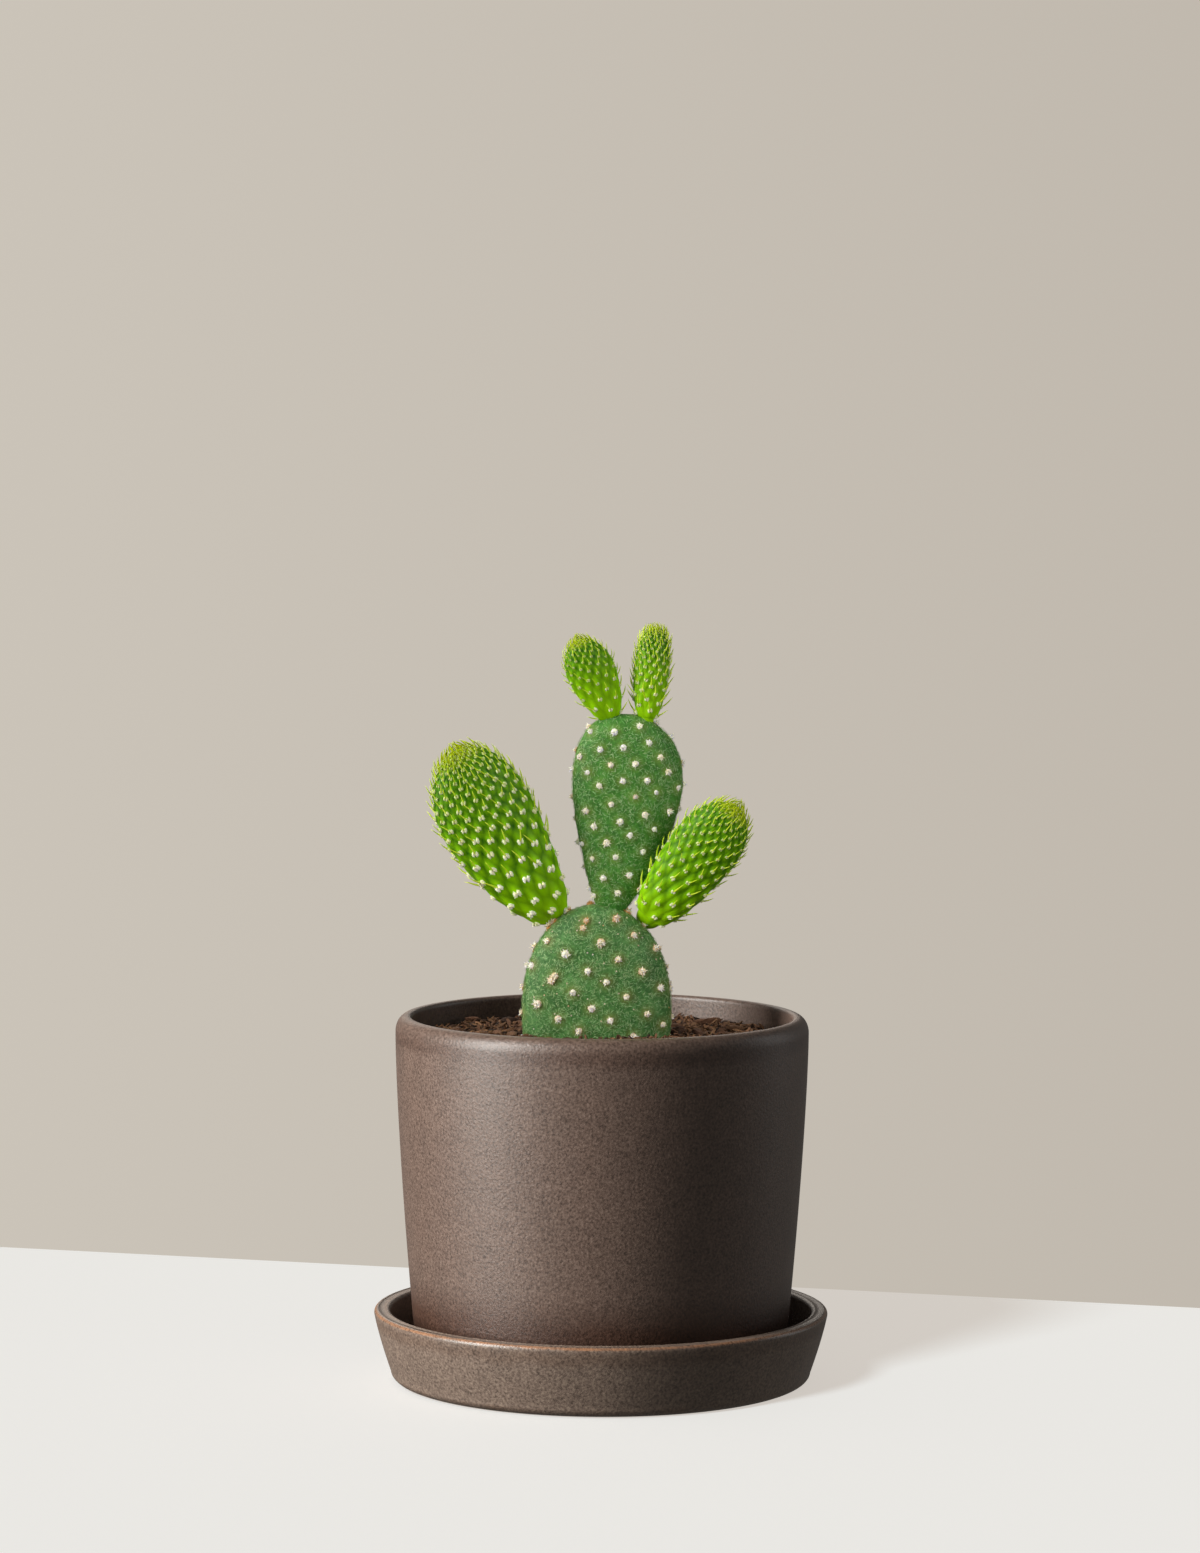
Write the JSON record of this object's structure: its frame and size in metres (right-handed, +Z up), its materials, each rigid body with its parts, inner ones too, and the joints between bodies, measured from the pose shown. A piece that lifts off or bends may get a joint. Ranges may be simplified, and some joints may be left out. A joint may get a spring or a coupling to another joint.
{
  "type": "potted paddle cactus",
  "caption": "Young bunny-ear style paddle cactus, grown pads with fresh pads on their edges, in a round glazed stoneware pot on its own saucer.",
  "frame": {"origin": "centre of the saucer's underside, on the surface that it stands on", "axes": "+Z up along the pot's axis, the plant's broad faces along -Y (front) and +Y (back), +X to the right seen from the front"},
  "size_m": [0.1542, 0.1542, 0.2585],
  "materials": {
    "glazed_stoneware": "satin",
    "potting_mix": "matte",
    "bark": "matte",
    "roots": "matte",
    "mature_skin": "matte",
    "young_skin": "satin",
    "glochid_tufts": "matte",
    "young_leaves": "satin"
  },
  "bodies": {
    "root": {"saucer": "glazed_stoneware", "pot": "glazed_stoneware", "potting_mix": "potting_mix", "root_system": "roots", "base_pad": "mature_skin", "middle_pad": "mature_skin", "left_pad": "young_skin", "right_pad": "young_skin", "top_left_pad": "young_skin", "top_right_pad": "young_skin", "bark_chip_01": "bark", "bark_chip_02": "bark", "bark_chip_03": "bark", "bark_chip_04": "bark", "bark_chip_05": "bark", "bark_chip_06": "bark", "bark_chip_07": "bark", "bark_chip_08": "bark", "bark_chip_09": "bark", "bark_chip_10": "bark", "bark_chip_11": "bark", "bark_chip_12": "bark", "bark_chip_13": "bark", "bark_chip_14": "bark", "bark_chip_15": "bark", "bark_chip_16": "bark", "bark_chip_17": "bark", "bark_chip_18": "bark", "bark_chip_19": "bark", "bark_chip_20": "bark", "bark_chip_21": "bark", "bark_chip_22": "bark", "bark_chip_23": "bark", "bark_chip_24": "bark", "bark_chip_25": "bark", "bark_chip_26": "bark", "bark_chip_27": "bark", "bark_chip_28": "bark", "bark_chip_29": "bark", "bark_chip_30": "bark", "bark_chip_31": "bark", "bark_chip_32": "bark", "bark_chip_33": "bark", "bark_chip_34": "bark", "bark_chip_35": "bark", "bark_chip_36": "bark", "bark_chip_37": "bark", "bark_chip_38": "bark", "bark_chip_39": "bark", "bark_chip_40": "bark", "bark_chip_41": "bark", "bark_chip_42": "bark", "bark_chip_43": "bark", "bark_chip_44": "bark", "bark_chip_45": "bark", "bark_chip_46": "bark"}
  },
  "joints": []
}
